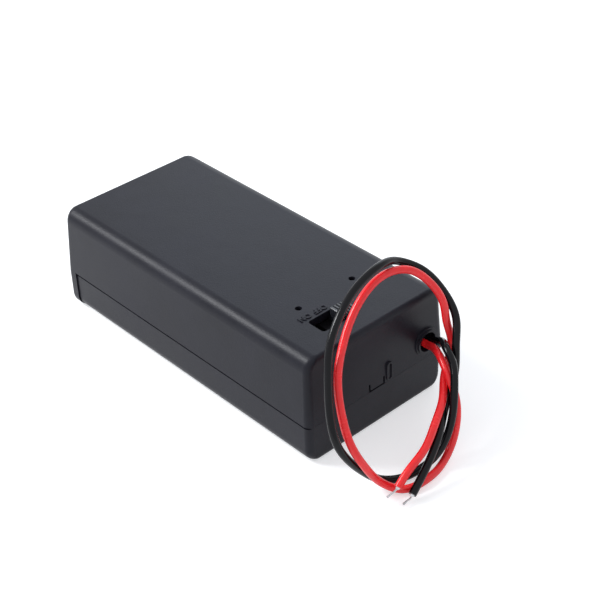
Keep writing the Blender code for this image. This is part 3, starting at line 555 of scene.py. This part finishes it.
# %% Dress the parts inside
METAL_EDGE = 0.05 * MM
FINISHES = {"nickel": nickel, "brass": brass, "tinned": tin, "board": board_brown, "red_insulation": lead_red}
LEAD_NODES = ("red_lead", "black_lead", "red_tip", "black_tip")
MOULDINGS = ("case_shell", "battery_cover", "switch_slider")
body_of = {node: body for body, nodes in frame["record"]["behaviour"]["bodies"].items() for node in nodes}


def dressed(piece, node, finish, edge):
    """Soften a copy of a CAD piece and give it its real finish, in the plain one's place."""
    soften(piece, edge)
    piece.data.materials.append(finish)
    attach(piece, body_of[node])
    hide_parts(node)
    print(piece.name, len(piece.data.polygons), "faces")
    return piece


for entry in frame["record"]["subparts"]:
    node = entry["node"]
    slot = entry["material_slot"]
    if node not in LEAD_NODES + MOULDINGS:
        dressed(copy_of(node, node + "_dressed"), node, FINISHES[slot], METAL_EDGE)

# %% [markdown]
# ## The cover and its seam
# The cover closes on the case with a seam all round. As two plain walls with a gap it would let light
# through and look grey, so the cover's upper edge is stepped in a little, and the seam is a narrow groove
# that stays dark. The step is cut with a ring: a plate round the box, from which a smaller plate has been
# taken. That plate reaches past the near end, where the step runs out round the corners. At the far end the
# cover is drawn a hair closer to the case, because there the seam is only a fine line.

# %% Step the cover's edge
MOULD_EDGE = 0.07 * MM
COVER_EDGE = 7.85 * MM
STEP_HEIGHT = 0.27 * MM
STEP_DEPTH = 0.5 * MM
STEP_END_SPARE = 0.3 * MM
STEP_CORNER = 1.2 * MM
TOOL_TOP = 10 * MM
SPARE = 1 * MM
FAR_SEAM_CLOSING = 0.26 * MM
FAR_WALL_FROM = 6 * MM
UPRIGHT_WITHIN = 0.001 * MM
SAME_FACE_WITHIN = 0.01 * MM


def plate(name, low, high):
    """A box between two corners."""
    deselect()
    bpy.ops.mesh.primitive_cube_add(size=1, location=(low + high) / 2, scale=high - low)
    piece = in_place(bpy.context.object)
    piece.name = name
    return piece


def select_where(piece, parts, test):
    """In edit mode, select only the edges or vertices that a test on their vertices' places picks."""
    mesh = piece.data
    for item in (*mesh.vertices, *mesh.edges, *mesh.polygons):
        item.select = False
    for item in getattr(mesh, parts):
        corners = [item] if parts == "vertices" else [mesh.vertices[index] for index in item.vertices]
        item.select = test([corner.co for corner in corners])
    activate(piece)
    bpy.ops.object.mode_set(mode="EDIT")
    bpy.ops.mesh.select_mode(type="VERT" if parts == "vertices" else "EDGE")


def subtract(piece, tool):
    """Cut a tool's shape out of a piece, and throw the tool away."""
    activate(piece)
    step = piece.modifiers.new(tool.name, "BOOLEAN")
    step.operation = "DIFFERENCE"
    step.solver = "EXACT"
    step.object = tool
    bpy.ops.object.modifier_apply(modifier=step.name)
    bpy.data.objects.remove(tool)


low, high = (Vector(corner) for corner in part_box("battery_cover"))
step_low = COVER_EDGE - STEP_HEIGHT
ring = plate("seam_ring", Vector((low.x - SPARE, low.y - SPARE, step_low)),
             Vector((high.x + SPARE, high.y + SPARE, TOOL_TOP)))
core = plate("seam_core", Vector((low.x - 2 * SPARE, low.y + STEP_DEPTH, step_low - SPARE)),
             Vector((high.x + STEP_END_SPARE, high.y - STEP_DEPTH, TOOL_TOP + SPARE)))
select_where(core, "edges", lambda ends: (ends[0] - ends[1]).xy.length < UPRIGHT_WITHIN and ends[0].x > 0)
bpy.ops.mesh.bevel(offset=STEP_CORNER, segments=5)
close_edit()
subtract(ring, core)

cover = copy_of("battery_cover", "battery_cover_dressed")
far_face = min(vertex.co.x for vertex in cover.data.vertices if vertex.co.z > FAR_WALL_FROM)
select_where(cover, "vertices", lambda places: abs(places[0].x - far_face) < SAME_FACE_WITHIN)
bpy.ops.transform.translate(value=(-FAR_SEAM_CLOSING, 0, 0))
close_edit()
subtract(cover, ring)
dressed(cover, "battery_cover", box_black, MOULD_EDGE)

# %% [markdown]
# ## The case and its slot
# The case is the upper moulding, with the slot in which the switch's knob slides. In the photograph the
# slot ends behind the red lead, sooner than in the CAD model. It could be filled and cut again. Moving the
# vertices of its end does the same and keeps the round corners. The knob below becomes as much shorter, so
# its travel stays.

# %% Draw in the slot's end
SLOT_CLOSING = 1.5 * MM
SLOT_END = (Vector((25.5, 1.3, 19.8)) * MM, Vector((29.7, 2.1, 21.6)) * MM)


def inside(place, corners):
    """Whether a place is in the box between two corners."""
    return all(low < value < high for low, value, high in zip(corners[0], place, corners[1]))


case = copy_of("case_shell", "case_shell_dressed")
select_where(case, "vertices", lambda places: inside(places[0], SLOT_END))
bpy.ops.transform.translate(value=(0, -SLOT_CLOSING, 0))
close_edit()
dressed(case, "case_shell", box_black, MOULD_EDGE)

# %% [markdown]
# ## The knob
# The thumb rides on the knob's five ridges, so they are rounder and shinier than the box, and each shows a
# bright line. The ridges could be cut anew for the shorter knob. Squeezing them towards the end that stays
# gives the photograph's closer ridges at once. The flange under the top is the same plastic, but it lies in
# the slot's shade, so its faces get painted shade: a much darker and duller copy of the plastic.

# %% Dress the knob
KNOB_EDGE = 0.13 * MM
KNOB_BOX = (Vector((25, -3.3, 19.55)) * MM, Vector((30.2, 1.8, 23)) * MM)
KNOB_FIXED_END = -3.2 * MM
KNOB_LENGTH = 4.9 * MM
FLANGE_BELOW_TOP = 1 * MM

case_top = Vector(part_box("case_shell")[1]).z
knob_share = 1 - SLOT_CLOSING / KNOB_LENGTH
slider = copy_of("switch_slider", "switch_slider_dressed")
for vertex in slider.data.vertices:
    if inside(vertex.co, KNOB_BOX):
        vertex.co.y = KNOB_FIXED_END + (vertex.co.y - KNOB_FIXED_END) * knob_share
dressed(slider, "switch_slider", knob_black, KNOB_EDGE)
# The faces under the top get the painted-shade copy of the plastic.
slider.data.materials.append(flange_painted_shade)
for face in slider.data.polygons:
    if face.center.z < case_top - FLANGE_BELOW_TOP:
        face.material_index = 1

# %% [markdown]
# ## The words beside the switch
# The mould has the words OFF and ON cut into it, so they stand up from the top by a hair. They could be a
# bump in the finish, but real relief also shows from the side. So they are text objects that are turned
# into meshes, sized by their height, and sunk a little so that no gap shows under them.

# %% Raise the words
WORDS = {"OFF": -4.0 * MM, "ON": -7.45 * MM}
WORDS_X = 24.45 * MM
LETTER_HEIGHT = 1.25 * MM
LETTER_RAISE = 0.16 * MM
LETTER_SINK = 0.05 * MM
LETTER_WELD = 0.0005 * MM
TEXT_DEPTH = 0.05
TEXT_EDGE = 0.02
TEXT_BOLDNESS = 0.012


def raised_word(word, middle_y):
    """A word on the top, which reads along -Y with its letters' tops towards +X."""
    bpy.ops.object.text_add()
    piece = bpy.context.object
    piece.name = "word_" + word.lower()
    piece.data.body = word
    piece.data.align_x = "CENTER"
    piece.data.extrude = TEXT_DEPTH
    piece.data.bevel_depth = TEXT_EDGE
    piece.data.offset = TEXT_BOLDNESS
    piece.data.resolution_u = 4
    activate(piece)
    bpy.ops.object.convert(target="MESH")
    size = LETTER_HEIGHT / piece.dimensions.y
    thick = (LETTER_RAISE + LETTER_SINK) / piece.dimensions.z
    middle = sum((Vector(corner) for corner in piece.bound_box), Vector()) / 8
    piece.scale = (size, size, thick)
    piece.rotation_euler = (0, 0, math.radians(-90))
    piece.location = (WORDS_X - middle.y * size, middle_y + middle.x * size,
                      case_top + (LETTER_RAISE - LETTER_SINK) / 2 - middle.z * thick)
    edit_all(in_place(piece))
    bpy.ops.mesh.remove_doubles(threshold=LETTER_WELD)
    bpy.ops.mesh.normals_make_consistent(inside=False)
    close_edit()
    piece.data.materials.append(box_black)
    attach(piece, "case")
    return piece


for word, middle_y in WORDS.items():
    piece = raised_word(word, middle_y)
    print(piece.name, [round(size / MM, 2) for size in piece.dimensions], "mm")

# %% [markdown]
# ## The studio
# The box stands on a white sweep under large soft lamps. The key lamp is high on the left, so the end with
# the leads stays darker and the box's shadow falls to the right. The lamp behind the box is bluer, as a
# window is, and gives the top its cool sheen. One bright world would be simpler, but it would light every
# side alike and leave no shadow. The floor glows a little, only for the camera and in reflections, so that
# it stays white.

# %% Floor, lamps and world
FLOOR_SIZE = 4
FLOOR_GREY = 0.7
FLOOR_GLOW = 0.5
WORLD_LIGHT = 0.75
PAPER_WHITE = (0.96, 0.975, 1.0, 1.0)
SKY_BLUE = (0.78, 0.89, 1.0, 1.0)
LAMP_AIM = Vector((0, 0, 10 * MM))

bpy.ops.mesh.primitive_plane_add(size=FLOOR_SIZE, location=(0, 0, 0))
floor = bpy.context.object
floor.name = "floor"
paper = Finish("studio_paper", roughness=0.9, specular_ior_level=0.1, base_color=grey(FLOOR_GREY))
glow = paper.node("ShaderNodeEmission", inputs={"Color": PAPER_WHITE, "Strength": FLOOR_GLOW * paper.seen()})
lit = Socket(paper, paper.shader.outputs[0])
both = paper.node("ShaderNodeAddShader", inputs={0: lit, 1: glow})
paper.feed(paper.tree.nodes["Material Output"], {0: both})
floor.data.materials.append(paper.material)


def soft_lamp(name, azimuth, elevation, distance, size, power, colour):
    """A square lamp that shines on the box from a direction."""
    place, back = from_view(math.radians(azimuth), math.radians(elevation), distance, LAMP_AIM)
    bpy.ops.object.light_add(type="AREA", location=place, rotation=back.to_track_quat("Z", "Y").to_euler())
    lamp = bpy.context.object
    lamp.name = name
    lamp.data.size = size
    lamp.data.energy = power
    lamp.data.color = colour[:3]
    print(name, "at", [round(value / MM) for value in place], "mm")


soft_lamp("key_lamp", azimuth=-52, elevation=42, distance=0.6, size=0.2, power=3.3, colour=PAPER_WHITE)
soft_lamp("back_lamp", azimuth=215, elevation=32, distance=0.7, size=0.5, power=0.9, colour=SKY_BLUE)

world = bpy.data.worlds.new("studio")
bpy.context.scene.world = world
world.use_nodes = True
sky = Wiring(world.node_tree)
strength = WORLD_LIGHT + (1 - WORLD_LIGHT) * sky.seen()
sky.feed(world.node_tree.nodes["Background"], {"Color": PAPER_WHITE, "Strength": strength})
bpy.context.scene.view_settings.view_transform = "Standard"
